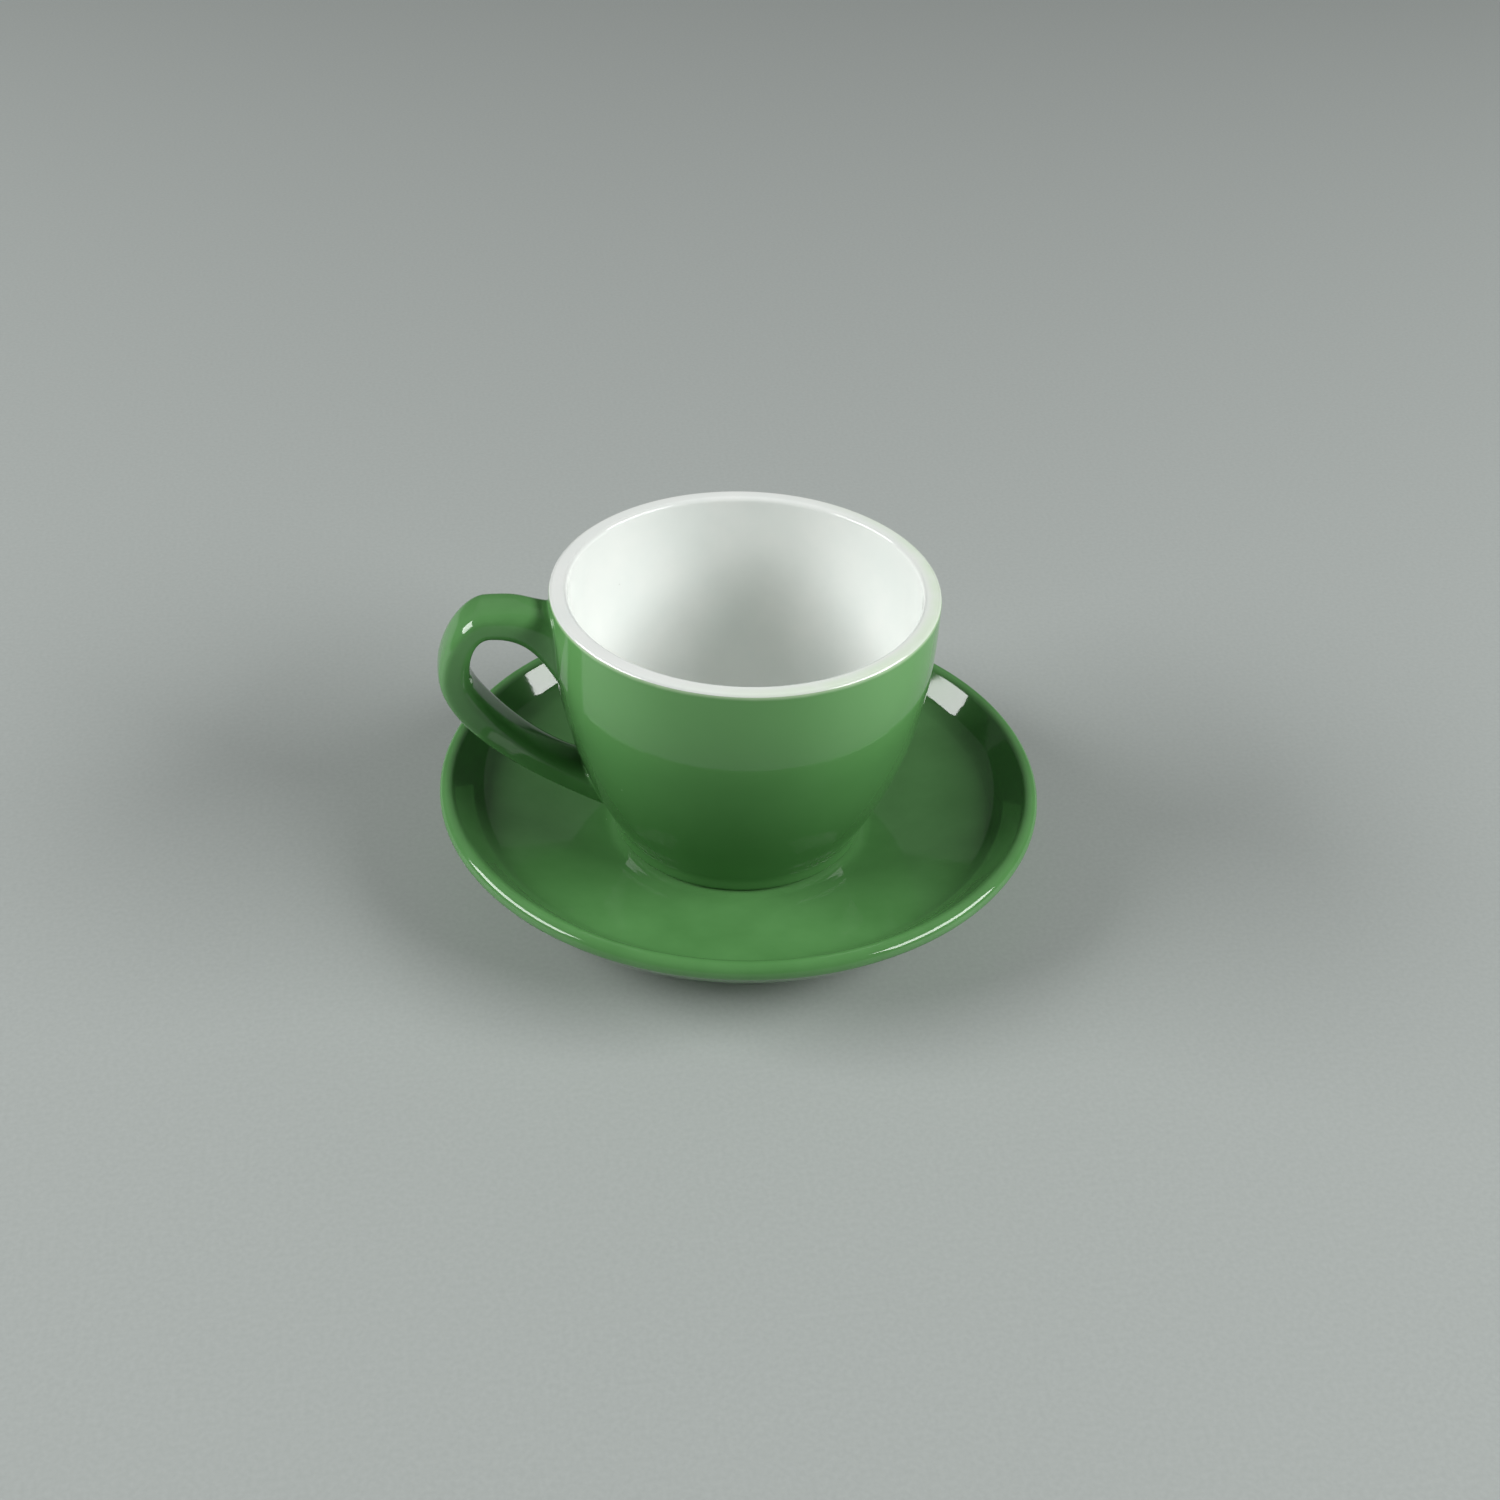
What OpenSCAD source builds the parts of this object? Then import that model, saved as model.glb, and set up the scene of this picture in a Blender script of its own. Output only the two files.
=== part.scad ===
// A cup and saucer: a porcelain bowl with a strap handle, standing in the well of a dished saucer.
// The origin is on the table under the middle of the saucer, +Z is up and the handle points along -X.

/* [Saucer] */
// Radius at the outside of the lip
saucer_r = 72.5; // [69:0.5:80]
// Height of the flat well above the table
well_z = 7.5; // [6.5:0.1:10]
// Clearance from the cup's foot to the edge of the flat well
well_gap = 1.4; // [0.5:0.1:4]
// Radius of the crease where the floor turns up into the lip
crease_r = 63; // [60:0.5:64]
// Height of the crease above the well
crease_rise = 6.6; // [5:0.1:8]
// Rounding of the crease
crease_round = 8; // [4:0.5:9]
// Height of the top of the lip above the well
lip_rise = 13.4; // [12.5:0.1:17]
// Thickness of the saucer, which ends in a fully rounded lip
saucer_t = 4.4; // [4:0.1:5.4]
// Outer radius of the foot ring
ring_r = 41; // [38:0.5:46]
// Width of the foot ring
ring_w = 4; // [3:0.1:6]
// Rounding of the foot ring's lower edges
ring_round = 0.8; // [0.4:0.1:1.4]

/* [Bowl] */
// Height of the cup from its foot to its rim
cup_h = 66; // [60:0.5:75]
// Radius at the outside of the rim
rim_r = 45; // [42:0.5:48]
// Thickness of the wall
wall_t = 4.2; // [3:0.1:4.5]
// Rounding of the rim's two edges
rim_round = 1.1; // [0.8:0.1:1.45]
// Radius of the foot
foot_r = 30.6; // [28:0.1:31.5]
// Height of the foot's upright side
foot_h = 2.6; // [2.4:0.1:5]
// Rounding of the foot's lower edge
foot_round = 1.5; // [1:0.1:2.4]
// Width of the ring that the cup stands on
foot_w = 4.2; // [3:0.1:6]
// Depth of the hollow under the foot
foot_hollow = 1.8; // [1:0.1:2]
// Radius of the hollow corner between foot and wall
waist_round = 4.5; // [2:0.1:6]
// Lean of the wall where it leaves the foot, in degrees from upright
wall_lean = 28.5; // [25:0.5:32]
// Height of the floor inside, above the cup's foot
floor_rise = 5; // [4.6:0.1:8]
// Height above that floor at which the wall turns into it
floor_turn = 17; // [12:0.5:22]

/* [Handle] */
// Distance from the rim's edge to the outside of the handle
handle_reach = 26; // [22:0.5:30]
// Depth of the outermost point below the rim
bow_drop = 18.5; // [15:0.5:22]
// Distance from the rim's edge to the top of the arch
arch_out = 14; // [10:0.5:15]
// Depth of the top of the arch below the rim
arch_drop = 1; // [0:0.1:4]
// Thickness of the strap
strap_t = 7.4; // [6:0.1:9]
// Width of the strap
strap_w = 12.8; // [10:0.1:16]
// Squareness of the strap's section: 2 is an ellipse
strap_square = 3.2; // [2:0.1:4]
// Depth below the rim at which the top of the arch meets the bowl
arch_top_drop = 3.4; // [3:0.1:8]
// Depth below the rim at which the underside of the arch meets the bowl
arch_under_drop = 21; // [16:0.5:26]
// Height above the cup's foot at which the top of the tail meets the bowl
tail_top_rise = 20; // [16:0.5:26]
// Height above the cup's foot at which the underside of the tail meets the bowl
tail_under_rise = 9.8; // [7:0.1:12]
// Rise of the tail where it leaves the bowl, in degrees
tail_angle = 27; // [20:1:40]
// Flare of the strap's width at its roots
root_flare = 1.4; // [1:0.1:4]
// Thickness of the slip that joins the handle to the bowl
slip_t = 0.8; // [0.5:0.1:1.5]

/* [Glaze] */
// Thickness of the glaze
glaze_t = 0.4; // [0.3:0.05:0.6]
// Where the white glaze ends on the rim's outer edge, in degrees above level
white_turn = 28; // [10:1:60]

/* [Hidden] */
$fn = 96;

porcelain = "#ece9e2";
slip_clay = "#d9d4c8";
white_glaze = "#e6eee9";
green_glaze = "#508c4b";

// Fineness of the rounded stretches
arc_step = 10;
wall_steps = 18;
strap_steps = 14;
strap_sides = 20;
// Share of the lip's straight side that the rounding of the crease can take, at most
crease_share = 0.9;
// How far the handle is drawn into the bowl before the bowl is cut from it
root_depth = 4;
// How close to the roots the flare stays: higher is closer
flare_hold = 12;
// How far round the foot's lower edge the glaze runs, in degrees below level
coat_turn = 65;
// Rise of the arch's top and underside where they leave the bowl, in degrees
arch_lifts = [19, 62];
// Fullness of the curves at the roots, as a share of each stretch
root_share = 0.53;
// Fullness of the turn over the arch, for the outer and the inner edge
arch_shares = [0.46, 0.58];
// Fullness of the bow down into the tail, for the outer and the inner edge
bow_shares = [0.36, 0.18];

well_r = foot_r + well_gap;
rim_z = well_z + cup_h;
floor_z = well_z + floor_rise;

// Points on an arc about a middle, from one angle to another
function arc(middle, radius, from, to) =
    let (steps = max(2, ceil(abs(to - from) / arc_step)))
    [for (i = [0 : steps]) let (a = from + (to - from) * i / steps) middle + radius * [cos(a), sin(a)]];

// A cubic curve from a towards b, then from the side of c into d, without its last point
function cubic(a, b, c, d, steps) =
    [for (i = [0 : steps - 1]) let (t = i / steps, s = 1 - t)
        s * s * s * a + 3 * s * s * t * b + 3 * s * t * t * c + t * t * t * d];

function unit(v) = v / norm(v);
function heading(angle) = [cos(angle), sin(angle)];
function left_of(v) = [-v.y, v.x];
function reversed(path) = [for (i = [len(path) - 1 : -1 : 0]) path[i]];

// An arc that rounds a corner where a path turns up from one lean to a steeper one
function upward_turn(corner, radius, from, to) =
    let (start = corner - radius * tan((to - from) / 2) * heading(from))
    arc(start + radius * left_of(heading(from)), radius, from - 90, to - 90);

// The path moved sideways to its left, with its corners kept sharp
function beside(path, distance) =
    let (last = len(path) - 1)
    [for (i = [0 : last])
        let (
            before = unit(path[max(i, 1)] - path[max(i, 1) - 1]),
            after = unit(path[min(i, last - 1) + 1] - path[min(i, last - 1)]),
            along = unit(before + after)
        )
        path[i] + distance / (along * before) * left_of(along)];

// Saucer: the upper face from its middle to the lip, round the lip, and back along the underside
lip_r = saucer_t / 2;
lip_mid = [saucer_r - lip_r, well_z + lip_rise - lip_r];
crease = [crease_r, well_z + crease_rise];
floor_lean = atan2(crease_rise, crease_r - well_r);
lip_reach = lip_mid - crease;
lip_lean = atan2(lip_reach.y, lip_reach.x) + asin(lip_r / norm(lip_reach));
lip_side = sqrt(lip_reach * lip_reach - lip_r * lip_r);
crease_bend = min(crease_round, crease_share * lip_side / tan((lip_lean - floor_lean) / 2));
lip_edge = arc(lip_mid, lip_r, lip_lean + 90, lip_lean - 90);
dish_top = concat(
    [[0, well_z], [well_r, well_z]],
    upward_turn(crease, crease_bend, floor_lean, lip_lean));
dish_under = beside(concat(dish_top, [lip_edge[0]]), -saucer_t);
dish_loop = concat(
    dish_top,
    lip_edge,
    [for (i = [len(dish_top) - 1 : -1 : 0]) dish_under[i]]);
dish_clay = beside(dish_loop, -glaze_t);
ring_top = well_z + (ring_r - well_r) * tan(floor_lean) - saucer_t / 2;
ring_in = ring_r - ring_w;
ring_outline = concat(
    [[ring_in, ring_top]],
    arc([ring_in + ring_round, ring_round], ring_round, 180, 270),
    arc([ring_r - ring_round, ring_round], ring_round, 270, 360),
    [[ring_r, ring_top]]);

// Bowl: the wall leaves the waist at its lean and comes upright at the rim
waist_mid = [foot_r + waist_round, well_z + foot_h];
waist = waist_mid + waist_round * heading(180 - wall_lean);
wall_bow = tan(wall_lean) * (rim_z - waist.y) / (rim_r - waist.x);
function wall_r(z) = rim_r - (rim_r - waist.x) * pow(max(0, rim_z - z) / (rim_z - waist.y), wall_bow);
function lean_at(z) = let (d = 0.01) atan2(wall_r(z + d) - wall_r(z - d), 2 * d);
turn_z = floor_z + floor_turn;
turn_r = floor_turn / (1 - sin(lean_at(turn_z)));
turn_mid = [wall_r(turn_z) - wall_t - turn_r * cos(lean_at(turn_z)), floor_z + turn_r];
edge_z = rim_z - rim_round;
edge_mid = [wall_r(edge_z) - rim_round, edge_z];
white_z = edge_z + rim_round * sin(white_turn);
foot_mid = [foot_r - foot_round, well_z + foot_round];
function wall_points(from, to, thickness) =
    [for (i = [0 : wall_steps]) let (z = from + (to - from) * i / wall_steps) [wall_r(z) - thickness, z]];

// From the middle of the floor inside, up the wall and over the rim's inner edge
inside_path = concat(
    [[0, floor_z]],
    arc(turn_mid, turn_r, 270, 360 - lean_at(turn_z)),
    [for (p = wall_points(turn_z, edge_z, wall_t)) if (p.y > turn_z) p],
    [for (p = arc([wall_r(edge_z) - wall_t + rim_round, edge_z], rim_round, 180, 90)) if (p.y > edge_z) p]);
// Over the rim's outer edge to where the white glaze ends
rim_path = arc(edge_mid, rim_round, 90, white_turn);
// From there down the outside and round the foot's lower edge
coat_path = concat(
    [for (p = arc(edge_mid, rim_round, white_turn, 0)) if (p.y < white_z) p],
    [for (p = wall_points(edge_z, waist.y, 0)) if (p.y < edge_z) p],
    [for (p = arc(waist_mid, waist_round, 180 - wall_lean, 180)) if (p.y < waist.y) p],
    arc(foot_mid, foot_round, 0, -coat_turn));
white_path = concat(inside_path, rim_path);
glaze_path = concat(white_path, coat_path);
clay_path = beside(glaze_path, -glaze_t);
white_end = len(white_path) - 1;
function stretch(path, from, to) = [for (i = [from : to]) path[i]];
hollow_r = foot_mid.x - foot_w;
hollow_z = well_z + foot_hollow;

// Handle: its outer and inner edges seen from the side, as distance out and height
arch_top = [rim_r + arch_out, rim_z - arch_drop];
arch_end = [rim_r + handle_reach, rim_z - bow_drop];
function on_wall(z) = [wall_r(z), z];
function strap_edge(side, from, top, out, to) =
    let (
        rise = root_share * (top.x - from.x),
        turn = arch_shares[side] * (out - top),
        bow = bow_shares[side] * (out.y - to.y),
        tail = root_share * (out.x - to.x)
    )
    concat(
        [from - [root_depth, 0]],
        cubic(from, from + rise * heading(arch_lifts[side]), top - [rise, 0], top, strap_steps),
        cubic(top, top + [turn.x, 0], out - [0, turn.y], out, strap_steps),
        cubic(out, out - [0, bow], to + tail * heading(tail_angle), to, strap_steps),
        [to, to - [root_depth, 0]]);
outer_edge = strap_edge(
    0, on_wall(rim_z - arch_top_drop), arch_top, arch_end, on_wall(well_z + tail_under_rise));
inner_edge = strap_edge(
    1, on_wall(rim_z - arch_under_drop), arch_top - [0, strap_t], arch_end - [strap_t, 0],
    on_wall(well_z + tail_top_rise));

module revolve(outline) {
    rotate_extrude() polygon(outline);
}

// The strap as one closed skin, drawn in by a margin all round
module strap(margin) {
    outer = beside(outer_edge, -margin);
    inner = beside(inner_edge, margin);
    rings = len(outer);
    function flare(i) = let (s = abs(2 * i / (rings - 1) - 1)) root_flare * pow(s, flare_hold);
    function section(i) =
        let (
            middle = (outer[i] + inner[i]) / 2,
            half = (outer[i] - inner[i]) / 2,
            wide = strap_w / 2 + flare(i) - margin
        )
        [for (k = [0 : strap_sides - 1])
            let (
                a = 360 * k / strap_sides,
                up = sign(cos(a)) * pow(abs(cos(a)), 2 / strap_square),
                side = sign(sin(a)) * pow(abs(sin(a)), 2 / strap_square),
                p = middle + half * up
            )
            [-p.x, wide * side, p.y]];
    points = [for (i = [0 : rings - 1]) each section(i)];
    function at(i, k) = i * strap_sides + k % strap_sides;
    sides = [for (i = [0 : rings - 2], k = [0 : strap_sides - 1], half = [0, 1])
        half == 0 ? [at(i, k), at(i + 1, k + 1), at(i, k + 1)] : [at(i, k), at(i + 1, k), at(i + 1, k + 1)]];
    caps = [for (k = [1 : strap_sides - 2], end = [0, rings - 1])
        end == 0 ? [at(0, 0), at(0, k), at(0, k + 1)] : [at(end, 0), at(end, k + 1), at(end, k)]];
    polyhedron(points, concat(sides, caps));
}

// The clay bowl without its hollows, grown outwards by an allowance
module bowl_filled(allowance) {
    outside = beside(concat(rim_path, coat_path), allowance - glaze_t);
    revolve(concat([[0, outside[0].y]], outside, [[0, outside[len(outside) - 1].y]]));
}

module saucer_body() {
    color(porcelain) union() {
        revolve(dish_clay);
        revolve(ring_outline);
    }
}

module saucer_glaze() {
    color(green_glaze) difference() {
        revolve(concat(dish_loop, reversed(dish_clay)));
        revolve(ring_outline);
    }
}

module cup_body() {
    color(porcelain)
    revolve(concat(
        clay_path,
        [[foot_mid.x, well_z], [hollow_r, well_z], [hollow_r, hollow_z], [0, hollow_z]]));
}

module cup_handle() {
    color(porcelain) difference() {
        strap(glaze_t);
        bowl_filled(slip_t);
    }
}

module handle_slip() {
    color(slip_clay) difference() {
        intersection() {
            strap(glaze_t);
            bowl_filled(slip_t);
        }
        bowl_filled(0);
    }
}

module cup_lining() {
    color(white_glaze) revolve(concat(white_path, reversed(stretch(clay_path, 0, white_end))));
}

module cup_coat() {
    color(green_glaze) {
        difference() {
            revolve(concat(
                stretch(glaze_path, white_end, len(glaze_path) - 1),
                reversed(stretch(clay_path, white_end, len(clay_path) - 1))));
            strap(0);
        }
        translate([0, 0, hollow_z - glaze_t]) cylinder(r = hollow_r, h = glaze_t);
    }
}

module handle_glaze() {
    color(green_glaze) difference() {
        strap(0);
        strap(glaze_t);
        bowl_filled(0);
    }
}

saucer_body();
saucer_glaze();
cup_body();
cup_handle();
handle_slip();
cup_lining();
cup_coat();
handle_glaze();
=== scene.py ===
import math

import bpy
import numpy as np
from mathutils import Matrix, Vector, noise


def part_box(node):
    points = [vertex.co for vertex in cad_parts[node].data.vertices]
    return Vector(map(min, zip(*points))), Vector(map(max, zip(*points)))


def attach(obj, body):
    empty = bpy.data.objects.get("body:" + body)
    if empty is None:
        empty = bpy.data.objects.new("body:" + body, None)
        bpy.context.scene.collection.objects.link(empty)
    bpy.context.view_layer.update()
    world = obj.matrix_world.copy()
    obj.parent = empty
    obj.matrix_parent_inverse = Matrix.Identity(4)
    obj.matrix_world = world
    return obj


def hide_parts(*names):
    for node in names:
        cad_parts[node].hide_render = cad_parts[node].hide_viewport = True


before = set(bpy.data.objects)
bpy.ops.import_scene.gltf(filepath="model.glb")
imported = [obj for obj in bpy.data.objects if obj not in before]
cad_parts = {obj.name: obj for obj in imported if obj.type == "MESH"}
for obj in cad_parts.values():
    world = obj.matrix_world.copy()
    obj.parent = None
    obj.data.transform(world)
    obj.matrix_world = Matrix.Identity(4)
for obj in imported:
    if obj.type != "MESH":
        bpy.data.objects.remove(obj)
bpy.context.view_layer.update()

# Saucer clay
# The saucer is one casting of porcelain, a dish with a fully rounded lip and a foot ring under it.
# Its ring is wiped free of glaze before firing and ground flat afterwards, so there the clay shows.
mm = 0.001
glaze_depth = 0.4 * mm
saucer_low, saucer_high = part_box("saucer_glaze")
saucer_radius = (saucer_high.y - saucer_low.y) / 2
well_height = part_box("cup_body")[0].z
well_radius = 32 * mm
well_round = 14 * mm
crease = np.array([63 * mm, well_height + 6.6 * mm])
crease_round = 8 * mm
saucer_thickness = 4.4 * mm
lip_round = saucer_thickness / 2
lip_middle = np.array([saucer_radius - lip_round, saucer_high.z - lip_round])
ring_outside = 41 * mm
ring_inside = 37 * mm
ring_round = 0.8 * mm
ring_fillet = 1.2 * mm
ring_margin = 0.1 * mm
lip_sag = 0.12 * mm
sag_start = 45 * mm
sag_turn = 0.6
on_axis = 0.0001 * mm
around_steps = 256


def heading(angle):
    """A step of length 1 at an angle, in degrees."""
    return np.array([math.cos(math.radians(angle)), math.sin(math.radians(angle))])


def arc(middle, radius, first, last, steps=12):
    """Points round a middle, from one angle to another, in degrees."""
    return [np.asarray(middle) + radius * heading(a) for a in np.linspace(first, last, steps + 1)]


def bend(start, corner, end, steps=10):
    """A soft corner: leaves start towards the corner and comes into end from it."""
    start, corner, end = np.asarray(start), np.asarray(corner), np.asarray(end)
    shares = np.linspace(0, 1, steps + 1)
    return [(1 - t) ** 2 * start + 2 * t * (1 - t) * corner + t * t * end for t in shares]


def beside(path, distance):
    """The path moved sideways to its left, with its corners kept sharp."""
    path = np.array(path)
    steps = np.diff(path, axis=0)
    steps /= np.linalg.norm(steps, axis=1)[:, None]
    before = np.vstack([steps[:1], steps])
    after = np.vstack([steps, steps[-1:]])
    along = before + after
    along /= np.linalg.norm(along, axis=1)[:, None]
    left = np.stack([-along[:, 1], along[:, 0]], axis=1)
    return list(path + distance / (along * before).sum(axis=1)[:, None] * left)


def point_at(path, radius):
    """The point at one radius on a path that is drawn from the middle outwards."""
    path = np.array(path)
    return np.array([radius, float(np.interp(radius, path[:, 0], path[:, 1]))])


def smooth_mesh(name, points, faces, sharp_angle=38):
    """A new object with smooth faces that keep the sharp edges of a cut or a wiped line."""
    mesh = bpy.data.meshes.new(name)
    mesh.from_pydata([tuple(p) for p in points], [], faces)
    mesh.validate()
    mesh.polygons.foreach_set("use_smooth", [True] * len(mesh.polygons))
    mesh.set_sharp_from_angle(angle=math.radians(sharp_angle))
    piece = bpy.data.objects.new(name, mesh)
    bpy.context.scene.collection.objects.link(piece)
    return piece


def turned(name, *outlines, settle=None):
    """Turns closed outlines of radius and height about the upright axis.

    Outlines that are drawn counterclockwise face outwards. settle, if given, moves each point.
    """
    points, faces = [], []
    angles = np.linspace(0, 2 * math.pi, around_steps, endpoint=False)
    for outline in outlines:
        rows = []
        for radius, height in outline:
            first = len(points)
            if radius < on_axis:
                points.append((0, 0, height))
                rows.append([first] * around_steps)
            else:
                points += [(radius * math.cos(a), radius * math.sin(a), height) for a in angles]
                rows.append(range(first, first + around_steps))
        for low, high in zip(rows, rows[1:] + rows[:1]):
            for i in range(around_steps):
                j = (i + 1) % around_steps
                corners = dict.fromkeys([low[i], low[j], high[j], high[i]])
                if len(corners) > 2:
                    faces.append(list(corners))
    if settle:
        points = [settle(Vector(p)) for p in points]
    return smooth_mesh(name, points, faces)


def saucer_settle(point):
    """The lip's slight sag between the props of the kiln."""
    out = max(0, math.hypot(point.x, point.y) - sag_start) / (saucer_radius - sag_start)
    turn = math.atan2(point.y, point.x)
    point.z += lip_sag * out * out * math.cos(2 * turn + sag_turn)
    return point


def upward_turn(corner, radius, first, last, steps):
    """An arc that rounds a corner where a path turns up from one lean to a steeper one."""
    start = corner - radius * math.tan(math.radians(last - first) / 2) * heading(first)
    return arc(start + radius * heading(first + 90), radius, first - 90, last - 90, steps)


well_edge = np.array([well_radius, well_height])
floor_lean = math.degrees(math.atan2(*(crease - well_edge)[::-1]))
lip_reach = lip_middle - crease
lip_lean = math.degrees(math.atan2(lip_reach[1], lip_reach[0])
                        + math.asin(lip_round / np.linalg.norm(lip_reach)))
well_turn = upward_turn(well_edge, well_round, 0, floor_lean, 8)
crease_turn = upward_turn(crease, crease_round, floor_lean, lip_lean, 16)
dish_floor = list(np.linspace(well_turn[-1], crease_turn[0], 9)[1:-1])
dish_top = [np.array([0, well_height]), np.array([well_radius / 2, well_height])]
dish_top += well_turn + dish_floor + crease_turn
lip_edge = arc(lip_middle, lip_round, lip_lean + 90, lip_lean - 90, 28)
dish_under = beside(dish_top, -saucer_thickness)
dish_outline = dish_top + lip_edge + dish_under[::-1]
clay_outline = beside(dish_outline, -glaze_depth)
clay_under = clay_outline[len(dish_top) + len(lip_edge):][::-1]
clay_top = clay_outline[:len(dish_top) + len(lip_edge)]


def foot_ring():
    """The ring from its outer root down, round its ground face and up to its inner root."""
    outer_root = point_at(clay_under, ring_outside)
    inner_root = point_at(clay_under, ring_inside)
    outer_start = point_at(clay_under, ring_outside + ring_fillet)
    inner_end = point_at(clay_under, ring_inside - ring_fillet)
    down = np.array([0, ring_fillet])
    return (bend(outer_start, outer_root, outer_root - down)
            + arc((ring_outside - ring_round, ring_round), ring_round, 0, -90, 6)
            + arc((ring_inside + ring_round, ring_round), ring_round, 270, 180, 6)
            + bend(inner_root - down, inner_root, inner_end))


ring_path = foot_ring()
beyond_ring = [p for p in clay_under if p[0] > ring_path[0][0] + ring_margin]
within_ring = [p for p in clay_under if p[0] < ring_path[-1][0] - ring_margin]
saucer_clay = turned(
    "saucer_clay",
    (clay_top + beyond_ring[::-1] + ring_path + within_ring[::-1])[::-1],
    settle=saucer_settle)

# Noise is counted in patches to the metre, and most of its values lie between its low and high.
noise_low = 0.3
noise_high = 0.7
clay_patches = 240
clay_grains = 2600
grain_strength = 0.35
grain_depth = 0.06 * mm
clay_roughness = (0.55, 0.75)
turning_lines = 5200
turning_share = 0.25


def set_inputs(tree, node, inputs):
    """Sets each input of a shader node to a value, or joins it to another node's output."""
    for name, value in inputs.items():
        if isinstance(value, bpy.types.NodeSocket):
            tree.links.new(value, node.inputs[name])
        else:
            node.inputs[name].default_value = value


def put(tree, kind, inputs, **settings):
    """Adds a shader node with its settings and its inputs."""
    made = tree.nodes.new(kind)
    for name, value in settings.items():
        setattr(made, name, value)
    set_inputs(tree, made, inputs)
    return made


def colour(red, green, blue):
    """A colour as it is read off a screen, from 0 to 255, as light: the sRGB curve undone."""
    shares = [c / 255 for c in (red, green, blue)]
    return tuple(s / 12.92 if s <= 0.04045 else ((s + 0.055) / 1.055) ** 2.4 for s in shares) + (1,)


def ramp(tree, factor, *stops):
    """Colours along a factor, each stop a place from 0 to 1 and a colour."""
    made = put(tree, "ShaderNodeValToRGB", {"Fac": factor})
    while len(made.color_ramp.elements) < len(stops):
        made.color_ramp.elements.new(1)
    for element, (place, shade) in zip(made.color_ramp.elements, stops):
        element.position = place
        element.color = shade
    return made.outputs["Color"]


def between(tree, value, low, high, to_low=0.0, to_high=1.0):
    """Turns a value's range into another one, smoothly at both ends."""
    made = put(tree, "ShaderNodeMapRange", {
        "Value": value, "From Min": low, "From Max": high, "To Min": to_low, "To Max": to_high},
        interpolation_type="SMOOTHSTEP")
    return made.outputs["Result"]


def cloud(tree, place, patches, detail, roughness=0.5):
    """Soft noise with so many patches to the metre."""
    made = put(tree, "ShaderNodeTexNoise", {
        "Vector": place, "Scale": patches, "Detail": detail, "Roughness": roughness})
    return made.outputs["Fac"]


def mixed(tree, share, first, second, way="MIX"):
    """One colour with a share of a second one over it."""
    made = put(tree, "ShaderNodeMixRGB", {
        "Fac": share, "Color1": first, "Color2": second}, blend_type=way)
    return made.outputs["Color"]


def bumped(tree, height, strength, depth):
    """The tilt of a face from point to point, from a height that shows as fine relief."""
    made = put(tree, "ShaderNodeBump", {"Height": height, "Strength": strength, "Distance": depth})
    return made.outputs["Normal"]


def level_way(tree, place):
    """The level way to a place from the upright axis."""
    made = put(tree, "ShaderNodeVectorMath", {0: place, 1: (1, 1, 0)}, operation="MULTIPLY")
    return made.outputs["Vector"]


def way_length(tree, way):
    """How long a way is."""
    made = put(tree, "ShaderNodeVectorMath", {0: way}, operation="LENGTH")
    return made.outputs["Value"]


def new_material(name):
    """An empty material with the coordinates of the object's own frame and a finished output."""
    material = bpy.data.materials.new(name)
    material.use_nodes = True
    tree = material.node_tree
    tree.nodes.clear()
    surface = tree.nodes.new("ShaderNodeBsdfPrincipled")
    put(tree, "ShaderNodeOutputMaterial", {"Surface": surface.outputs["BSDF"]})
    place = tree.nodes.new("ShaderNodeTexCoord").outputs["Object"]
    return material, tree, surface, place


def fired_clay(name, dark, light):
    """Bare clay: chalky, with a fine grain and the rings left by turning and grinding."""
    material, tree, surface, place = new_material(name)
    mottle = cloud(tree, place, clay_patches, 5, 0.6)
    shade = ramp(tree, mottle, (noise_low, dark), (noise_high, light))
    out = way_length(tree, level_way(tree, place))
    lines = put(tree, "ShaderNodeTexNoise", {"W": out, "Scale": turning_lines, "Detail": 2},
                noise_dimensions="1D").outputs["Fac"]
    worn = ramp(tree, lines, (0.42, colour(150, 146, 138)), (0.6, colour(255, 255, 255)))
    grain = cloud(tree, place, clay_grains, 3)
    set_inputs(tree, surface, {
        "Base Color": mixed(tree, turning_share, shade, worn, way="MULTIPLY"),
        "Roughness": between(tree, mottle, noise_low, noise_high, *clay_roughness),
        "Normal": bumped(tree, grain, grain_strength, grain_depth)})
    return material


porcelain = fired_clay("bare_porcelain", colour(222, 216, 204), colour(240, 236, 227))
saucer_clay.data.materials.append(porcelain)
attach(saucer_clay, "saucer")
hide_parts("saucer_body")

# Saucer glaze
# A green glaze covers the whole dish, top and underside, and stops with a soft edge at the bare ring.
# It is sprayed on and melts to a thick gloss with a faint ripple, a few specks and the odd pinhole.
ripple_depth = 0.022 * mm
ripple_length = 17 * mm
deep_green = colour(86, 140, 79)
light_green = colour(95, 150, 88)
glaze_patches = 70
glaze_roughness = (0.035, 0.075)
glaze_ior = 1.52
pale_speck = colour(160, 196, 150)
speck_size = 0.35 * mm
speck_apart = 6.5 * mm
speck_share = 0.22
pinhole_size = 0.5 * mm
pinhole_apart = 9 * mm
pinhole_share = 0.2
pinhole_drop = 2.0
peel_patches = 420
peel_strength = 0.16
peel_depth = 0.05 * mm


def rippled(piece):
    """Sinks the points of a glazed face, here a little more and there less, as melted glaze lies."""
    facing = [v.normal.copy() for v in piece.data.vertices]
    for vertex, normal in zip(piece.data.vertices, facing):
        vertex.co += ripple_depth * (noise.noise(vertex.co / ripple_length) - 1) * normal


def worked(tree, way, *values):
    """One step of arithmetic on values or on outputs of other nodes."""
    return put(tree, "ShaderNodeMath", dict(enumerate(values)), operation=way).outputs["Value"]


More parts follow.
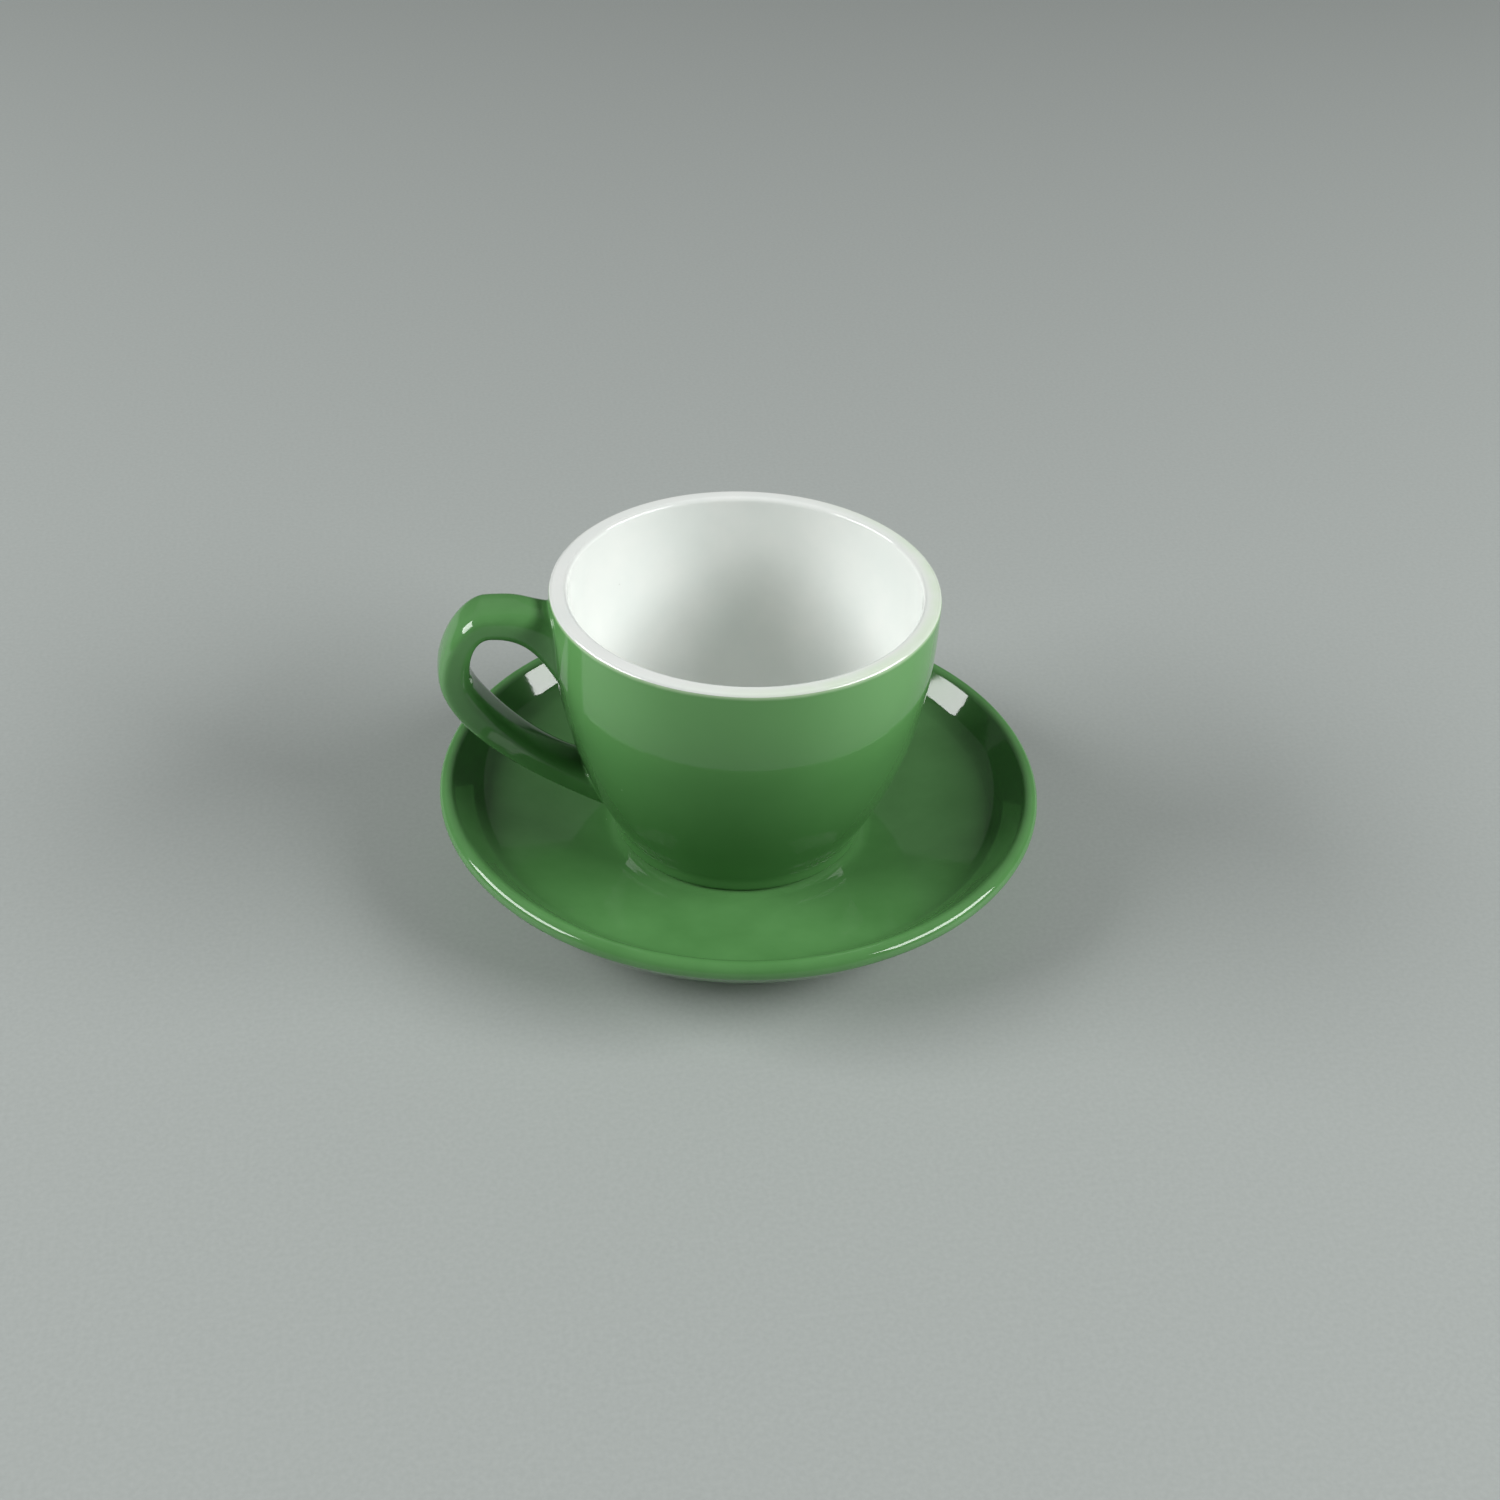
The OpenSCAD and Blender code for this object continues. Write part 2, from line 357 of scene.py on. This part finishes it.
def specks(tree, place, size, apart, share):
    """1 inside scattered round specks as wide as size, which lie in a share of the cells."""
    cells = put(tree, "ShaderNodeTexVoronoi", {"Vector": place, "Scale": 1 / apart})
    near = between(tree, cells.outputs["Distance"], 0.3 * size / apart, 0.5 * size / apart, 1, 0)
    pick = put(tree, "ShaderNodeSeparateColor", {"Color": cells.outputs["Color"]})
    chosen = worked(tree, "LESS_THAN", pick.outputs["Red"], share)
    return worked(tree, "MULTIPLY", near, chosen)


def glaze(name, shades, speck_shade, fade=None):
    """A glossy melted glaze. fade, if given, adds to its colour before the specks."""
    material, tree, surface, place = new_material(name)
    mottle = cloud(tree, place, glaze_patches, 4, 0.55)
    shade = ramp(tree, mottle, (noise_low, shades[0]), (noise_high, shades[1]))
    if fade:
        shade = fade(tree, place, shade)
    dots = specks(tree, place, speck_size, speck_apart, speck_share)
    holes = specks(tree, place, pinhole_size, pinhole_apart, pinhole_share)
    peel = cloud(tree, place, peel_patches, 2)
    relief = worked(tree, "MULTIPLY_ADD", holes, -pinhole_drop, peel)
    set_inputs(tree, surface, {
        "Base Color": mixed(tree, dots, shade, speck_shade),
        "Roughness": between(tree, mottle, noise_low, noise_high, *glaze_roughness),
        "Normal": bumped(tree, relief, peel_strength, peel_depth),
        "IOR": glaze_ior})
    return material


green_glaze = glaze("green_glaze", (deep_green, light_green), pale_speck)


def beyond(path):
    """The stretch of an underside from the lip in to the foot ring."""
    edge = ring_outside + ring_fillet
    return [p for p in path[::-1] if p[0] > edge] + [point_at(path, edge)]


def within(path):
    """The stretch of an underside from the middle out to the foot ring."""
    edge = ring_inside - ring_fillet
    return [p for p in path if p[0] < edge] + [point_at(path, edge)]


upper_glaze = dish_top + lip_edge + beyond(dish_under)
upper_clay = clay_top + beyond(clay_under)
saucer_glaze = turned(
    "saucer_green_glaze",
    (upper_glaze + upper_clay[::-1])[::-1],
    within(dish_under) + within(clay_under)[::-1],
    settle=saucer_settle)
rippled(saucer_glaze)
saucer_glaze.data.materials.append(green_glaze)
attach(saucer_glaze, "saucer")
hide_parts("saucer_glaze")

# Cup clay
# The bowl is a second porcelain casting: a short upright foot, a waist, and a wall that bellies out
# and comes upright at the rim. The foot is hollowed underneath and stands on its bare, ground edge.
rim_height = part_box("cup_lining")[1].z
rim_radius = 45 * mm
wall_thickness = 4.2 * mm
rim_round = 1.1 * mm
foot_radius = 30.6 * mm
foot_height = 2.6 * mm
foot_round = 1.5 * mm
foot_width = 4.2 * mm
foot_hollow = 1.8 * mm
hollow_round = 0.7 * mm
waist_round = 4.5 * mm
wall_lean = 28.5
floor_height = well_height + 5 * mm
floor_turn = 17 * mm
white_turn = 28
coat_turn = 65

waist_middle = np.array([foot_radius + waist_round, well_height + foot_height])
waist = waist_middle + waist_round * heading(180 - wall_lean)
wall_curve = math.tan(math.radians(wall_lean)) * (rim_height - waist[1]) / (rim_radius - waist[0])


def wall_radius(height):
    """Radius of the wall's outside at a height."""
    share = max(0, rim_height - height) / (rim_height - waist[1])
    return rim_radius - (rim_radius - waist[0]) * share ** wall_curve


def wall_slope(height):
    """Lean of the wall from upright, in degrees."""
    step = 0.01 * mm
    widening = wall_radius(height + step) - wall_radius(height - step)
    return math.degrees(math.atan2(widening, 2 * step))


def wall(first, last, inwards, steps):
    """Points of the wall from one height to another, moved inwards from its outside."""
    return [np.array([wall_radius(z) - inwards, z]) for z in np.linspace(first, last, steps + 1)]


turn_height = floor_height + floor_turn
turn_lean = wall_slope(turn_height)
turn_radius = floor_turn / (1 - math.sin(math.radians(turn_lean)))
turn_middle = np.array([
    wall_radius(turn_height) - wall_thickness - turn_radius * math.cos(math.radians(turn_lean)),
    floor_height + turn_radius])
edge_height = rim_height - rim_round
edge_middle = np.array([wall_radius(edge_height) - rim_round, edge_height])
inner_middle = edge_middle - [wall_thickness - 2 * rim_round, 0]
white_height = edge_height + rim_round * math.sin(math.radians(white_turn))
inside_path = ([np.array([0, floor_height])]
               + arc(turn_middle, turn_radius, 270, 360 - turn_lean, 30)
               + wall(turn_height, edge_height, wall_thickness, 40)[1:]
               + arc(inner_middle, rim_round, 180, 90, 14)[1:])
rim_path = arc(edge_middle, rim_round, 90, white_turn, 10)
foot_middle = np.array([foot_radius - foot_round, well_height + foot_round])
coat_path = (arc(edge_middle, rim_round, white_turn, 0, 5)[1:]
             + wall(edge_height, waist[1], 0, 70)[1:]
             + arc(waist_middle, waist_round, 180 - wall_lean, 180, 14)[1:]
             + arc(foot_middle, foot_round, 0, -coat_turn, 12))
white_path = inside_path + rim_path
bowl_path = white_path + coat_path
bowl_clay = beside(bowl_path, -glaze_depth)
hollow_radius = foot_middle[0] - foot_width
hollow_height = well_height + foot_hollow
hollow_middle = (hollow_radius + hollow_round, well_height + hollow_round)
foot_under = [np.array([foot_middle[0], well_height])]
foot_under += arc(hollow_middle, hollow_round, 270, 180, 6)
foot_under += [np.array([hollow_radius, hollow_height]), np.array([0, hollow_height])]
cup_clay = turned("cup_clay", (bowl_clay + foot_under)[::-1])
cup_clay.data.materials.append(porcelain)
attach(cup_clay, "cup")
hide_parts("cup_body")

# Handle clay and slip
# The strap is cast apart from the bowl and stuck to it while both are soft, with a pad of slip at
# each root. Both lie hidden under the glaze, so the solids of the frame stay as they are.
slip = fired_clay("dried_slip", colour(202, 195, 180), colour(222, 216, 203))
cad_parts["cup_handle"].active_material = porcelain
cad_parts["handle_slip"].active_material = slip

# White lining
# A clear white glaze lines the bowl, runs over the rim and ends on the rim's outer rounding. Along one
# side of the rim a breath of the green has drifted onto it.
cool_white = colour(238, 243, 239)
warm_white = colour(244, 247, 243)
grey_speck = colour(196, 198, 190)
drift_shade = colour(228, 242, 222)
drift_turn = -30
drift_start = -0.2 * rim_radius
drift_full = 0.9 * rim_radius
drift_inside = rim_radius - 4.2 * mm
drift_outside = rim_radius - 1.2 * mm
drift_patches = 160
drift_least = 0.5


def drifted(tree, place, shade):
    """The lining's colour with the drift of green on the outer side of the rim."""
    way = level_way(tree, place)
    towards = put(tree, "ShaderNodeVectorMath", {0: way, 1: (*heading(drift_turn), 0)},
                  operation="DOT_PRODUCT").outputs["Value"]
    side = between(tree, towards, drift_start, drift_full)
    edge = between(tree, way_length(tree, way), drift_inside, drift_outside)
    patch = worked(tree, "MULTIPLY", side, edge)
    thick = between(tree, cloud(tree, place, drift_patches, 3), 0.2, 0.6, drift_least, 1)
    return mixed(tree, worked(tree, "MULTIPLY", patch, thick), shade, drift_shade)


white_glaze = glaze("white_glaze", (cool_white, warm_white), grey_speck, fade=drifted)
lining = turned("cup_white_lining", (white_path + bowl_clay[:len(white_path)][::-1])[::-1])
rippled(lining)
lining.data.materials.append(white_glaze)
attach(lining, "cup")
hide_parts("cup_lining")

# Green coat
# The outside is glazed green from the rim's outer rounding to the foot's lower edge. At the top it
# thins to a pale line where it melts into the white. A disc of the same glaze lines the foot's hollow.
# Painted shade and light: the green is painted deeper towards the foot and paler towards the rim, as
# the lamps light the wall.
painted_light_green = colour(112, 172, 102)
painted_shade_green = colour(64, 112, 58)
painted_shade_middle = 0.55
painted_shade_share = 0.75
pale_edge = colour(176, 208, 164)
edge_fade = 0.8 * mm
edge_overlap = 0.15 * mm
edge_wander = 0.3 * mm
edge_patches = 190


def painted_shade_and_pale_edge(tree, place, shade):
    """The green with painted shade low down and painted light high up, paler where it meets the white.
    """
    height = put(tree, "ShaderNodeSeparateXYZ", {"Vector": place}).outputs["Z"]
    # Painted shade and light: the colour runs from dark at the waist to pale at the rim.
    painted_shading = ramp(tree, between(tree, height, waist[1], white_height),
                    (0.0, painted_shade_green), (painted_shade_middle, deep_green), (1.0, painted_light_green))
    with_painted_shade = mixed(tree, painted_shade_share, shade, painted_shading)
    wander = worked(tree, "MULTIPLY_ADD", cloud(tree, place, edge_patches, 2), edge_wander, height)
    share = between(tree, wander, white_height - edge_fade, white_height + edge_overlap)
    return mixed(tree, share, with_painted_shade, pale_edge)


coat_glaze = glaze("green_coat_glaze", (deep_green, light_green), pale_speck, fade=painted_shade_and_pale_edge)
coat_outside = bowl_path[len(white_path) - 1:]
coat_inside = bowl_clay[len(white_path) - 1:]
disc_height = hollow_height - glaze_depth
hollow_disc = [np.array([0, disc_height]), np.array([hollow_radius, disc_height]),
               np.array([hollow_radius, hollow_height]), np.array([0, hollow_height])]
coat = turned("cup_green_coat", (coat_outside + coat_inside[::-1])[::-1], hollow_disc)
rippled(coat)
coat.data.materials.append(coat_glaze)
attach(coat, "cup")
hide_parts("cup_coat")

# Handle glaze
# The same green glaze covers the handle, a flat strap that springs from just below the rim, turns over
# an arch and runs down into a slanting tail. It fills the corners at both roots to soft fillets.
handle_reach = 26 * mm
bow_drop = 18.5 * mm
arch_out = 14 * mm
arch_drop = 1 * mm
strap_thickness = 7.4 * mm
strap_width = 12.8 * mm
strap_square = 3.2
arch_top_drop = 3.4 * mm
arch_under_drop = 21 * mm
tail_top_rise = 20 * mm
tail_under_rise = 9.8 * mm
tail_angle = 27
root_flare = 1.4 * mm
flare_hold = 12
root_depth = 4 * mm
root_fillet = 0.8 * mm
root_overlap = 1.2
root_sink = 0.25 * mm
hub_sink = 1.2 * mm
root_share = 0.53
arch_lifts = (19, 62)
arch_shares = (0.46, 0.58)
bow_shares = (0.36, 0.18)
curve_steps = 120
strap_sides = 72
strap_rings = 130
fillet_steps = 9


def cubic(start, first, second, end, steps):
    """A curve from start towards first, then from the side of second into end, without its end."""
    return [(1 - t) ** 3 * start + 3 * (1 - t) ** 2 * t * first
            + 3 * (1 - t) * t * t * second + t ** 3 * end
            for t in np.arange(steps) / steps]


def on_wall(height):
    """The point of the wall's outside at a height, as distance out and height."""
    return np.array([wall_radius(height), height])


def strap_edge(side, root, top, out, tail):
    """One edge of the strap seen from the side, as distance out and height, from root to tail."""
    rise = root_share * (top[0] - root[0])
    over = arch_shares[side] * (out - top)
    bow = bow_shares[side] * (out[1] - tail[1])
    run = root_share * (out[0] - tail[0])
    inwards = np.array([root_depth, 0])
    return np.array(
        [root - inwards]
        + cubic(root, root + rise * heading(arch_lifts[side]), top - [rise, 0], top, curve_steps)
        + cubic(top, top + [over[0], 0], out - [0, over[1]], out, curve_steps)
        + cubic(out, out - [0, bow], tail + run * heading(tail_angle), tail, curve_steps)
        + [tail, tail - inwards])


arch_top = np.array([rim_radius + arch_out, rim_height - arch_drop])
arch_end = np.array([rim_radius + handle_reach, rim_height - bow_drop])
outer_edge = strap_edge(0, on_wall(rim_height - arch_top_drop), arch_top, arch_end,
                        on_wall(well_height + tail_under_rise))
inner_edge = strap_edge(1, on_wall(rim_height - arch_under_drop), arch_top - [0, strap_thickness],
                        arch_end - [strap_thickness, 0], on_wall(well_height + tail_top_rise))
strap_middle = (outer_edge + inner_edge) / 2
strap_half = (outer_edge - inner_edge) / 2
along_share = np.linspace(-1, 1, len(outer_edge))
half_width = strap_width / 2 + root_flare * np.abs(along_share) ** flare_hold


def strap_line(turn):
    """One line along the strap's skin, at a turn round its section, as points of the frame."""
    up = math.copysign(abs(math.cos(turn)) ** (2 / strap_square), math.cos(turn))
    across = math.copysign(abs(math.sin(turn)) ** (2 / strap_square), math.sin(turn))
    profile = strap_middle + strap_half * up
    return np.stack([-profile[:, 0], half_width * across, profile[:, 1]], axis=1)


def off_wall(points):
    """How far points stand out from the bowl's outside, level with it."""
    return np.array([math.hypot(x, y) - wall_radius(z) for x, y, z in points])


def wall_normal(point):
    """The way the bowl's outside faces at a point."""
    lean = math.radians(wall_slope(point[2]))
    turn = math.atan2(point[1], point[0])
    level = math.cos(lean)
    return np.array([math.cos(turn) * level, math.sin(turn) * level, -math.sin(lean)])


def onto_wall(point, lift):
    """The point moved level onto the bowl's outside, then off it by a lift."""
    turn = math.atan2(point[1], point[0])
    radius = wall_radius(point[2]) + lift
    return np.array([radius * math.cos(turn), radius * math.sin(turn), point[2]])


def runs_along(line):
    """How far along a line each of its points lies."""
    return np.concatenate([[0], np.cumsum(np.linalg.norm(np.diff(line, axis=0), axis=1))])


def root(line, middle):
    """Where a line that comes out of the wall meets it, and the fillet that leads it there."""
    clear = off_wall(line)
    j = int(np.argmax(clear > 0))
    share = clear[j - 1] / (clear[j - 1] - clear[j])
    meet = line[j - 1] + share * (line[j] - line[j - 1])
    outside = np.vstack([meet, line[j:]])
    runs = runs_along(outside)
    leave = np.array([np.interp(root_fillet, runs, outside[:, k]) for k in range(3)])
    rest = line[j:][runs[1:] > root_fillet]
    away = meet - middle
    normal = wall_normal(meet)
    away = away - normal * (away @ normal)
    away /= np.linalg.norm(away)
    land = onto_wall(meet + root_fillet * away, 0)
    buried = onto_wall(meet + root_overlap * root_fillet * away, -root_sink)
    return [buried] + bend(land, meet, leave, fillet_steps)[:-1], np.vstack([leave, rest])


def resampled(line, count):
    """The line as a count of points at even distances along it."""
    runs = runs_along(line)
    places = np.linspace(0, runs[-1], count)
    return np.stack([np.interp(places, runs, line[:, k]) for k in range(3)], axis=1)


def root_middle(from_end):
    """The middle of the strap where it meets the bowl, at its first or last stretch."""
    k = -2 if from_end else 1
    return np.array([-strap_middle[k][0], 0, strap_middle[k][1]])


skin = []
for turn in np.linspace(0, 2 * math.pi, strap_sides, endpoint=False):
    first_root, rest = root(strap_line(turn), root_middle(False))
    last_root, free = root(rest[::-1], root_middle(True))
    skin.append(np.vstack([first_root, resampled(free[::-1], strap_rings), last_root[::-1]]))
skin = np.array(skin)
rings = skin.shape[1]
skin_points = [skin[k, i] for i in range(rings) for k in range(strap_sides)]
skin_faces = [[i * strap_sides + k, i * strap_sides + (k + 1) % strap_sides,
               (i + 1) * strap_sides + (k + 1) % strap_sides, (i + 1) * strap_sides + k]
              for i in range(rings - 1) for k in range(strap_sides)]
for ring, order in ((0, -1), (rings - 1, 1)):
    hub = len(skin_points)
    middle = skin[:, ring].mean(axis=0)
    skin_points.append(onto_wall(middle, -hub_sink))
    corners = [ring * strap_sides + k for k in range(strap_sides)][::order]
    skin_faces += [[a, b, hub] for a, b in zip(corners, corners[1:] + corners[:1])]
handle_glaze = smooth_mesh("handle_green_glaze", skin_points, skin_faces, sharp_angle=60)
rippled(handle_glaze)
handle_glaze.data.materials.append(green_glaze)
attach(handle_glaze, "cup")
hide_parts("handle_glaze")

# Table
# The cup stands on a plain pale grey table top with a smooth matt face. It is one flat sheet, so wide
# that its edges stay out of sight.
table_size = 12
table_drop = 0.02 * mm
table_corners = ((-1, -1), (1, -1), (1, 1), (-1, 1))
table_grey = (colour(172, 178, 175), colour(178, 184, 181))
table_patches = 900
table_roughness = 0.5
table = smooth_mesh(
    "table",
    [(table_size * x, table_size * y, -table_drop) for x, y in table_corners],
    [[0, 1, 2, 3]])
table_material, table_tree, table_surface, table_place = new_material("table_top")
table_mottle = cloud(table_tree, table_place, table_patches, 3)
table_shade = ramp(table_tree, table_mottle, (noise_low, table_grey[0]), (noise_high, table_grey[1]))
set_inputs(table_tree, table_surface, {"Base Color": table_shade, "Roughness": table_roughness})
table.data.materials.append(table_material)

# Camera
# It looks down on the cup from the front, a little to the handle's side, with a slight tilt. Its place
# and lens are fitted to the outlines of the saucer, the rim, the foot and the handle.
view_turn = 10
view_drop = 35.8
view_tilt = 2.1
view_lens = 50.26
view_sensor = 36
view_place = Vector((-69.0, -405.0, 323.3)) * mm
camera = bpy.data.objects.new("camera", bpy.data.cameras.new("camera"))
camera.data.lens = view_lens
camera.data.sensor_width = view_sensor
camera.matrix_world = (Matrix.Translation(view_place)
                       @ Matrix.Rotation(math.radians(-view_turn), 4, "Z")
                       @ Matrix.Rotation(math.radians(90 - view_drop), 4, "X")
                       @ Matrix.Rotation(math.radians(view_tilt), 4, "Z"))
bpy.context.scene.collection.objects.link(camera)
bpy.context.scene.camera = camera

# Light
# Two long soft lamps stand at the left and right of the cup, a wide dim one glows behind it as a pale
# wall does, and a dim even room fills the rest.
lamp_distance = 1.5
lamp_aim = 40 * mm
lamp_width = 1.2
lamp_height = 0.5
right_turn = 101
right_rise = 30
right_power = 22
left_turn = -97
left_rise = 29
left_power = 20.5
glow_rise = 50
glow_width = 4.0
glow_height = 1.2
glow_power = 2
room_light = 0.045


def soft_lamp(name, turn, rise, width, height, power):
    """A flat lamp that faces the cup.

    It stands at a turn to the right from straight behind the cup, and at a rise above it.
    """
    flat = heading(90 - turn - view_turn)
    level, up = heading(rise)
    away = Vector((flat[0] * level, flat[1] * level, up))
    lamp = bpy.data.lights.new(name, "AREA")
    lamp.shape = "RECTANGLE"
    lamp.size = width
    lamp.size_y = height
    lamp.energy = power
    made = bpy.data.objects.new(name, lamp)
    made.location = Vector((0, 0, lamp_aim)) + lamp_distance * away
    made.rotation_euler = away.to_track_quat("Z", "Y").to_euler()
    bpy.context.scene.collection.objects.link(made)


soft_lamp("right_lamp", right_turn, right_rise, lamp_width, lamp_height, right_power)
soft_lamp("left_lamp", left_turn, left_rise, lamp_width, lamp_height, left_power)
soft_lamp("back_glow", 0, glow_rise, glow_width, glow_height, glow_power)
room = bpy.data.worlds.new("room")
room.use_nodes = True
room_back = room.node_tree.nodes["Background"]
room_back.inputs["Color"].default_value = (1, 1, 1, 1)
room_back.inputs["Strength"].default_value = room_light
bpy.context.scene.world = room
bpy.context.scene.view_settings.view_transform = "Standard"
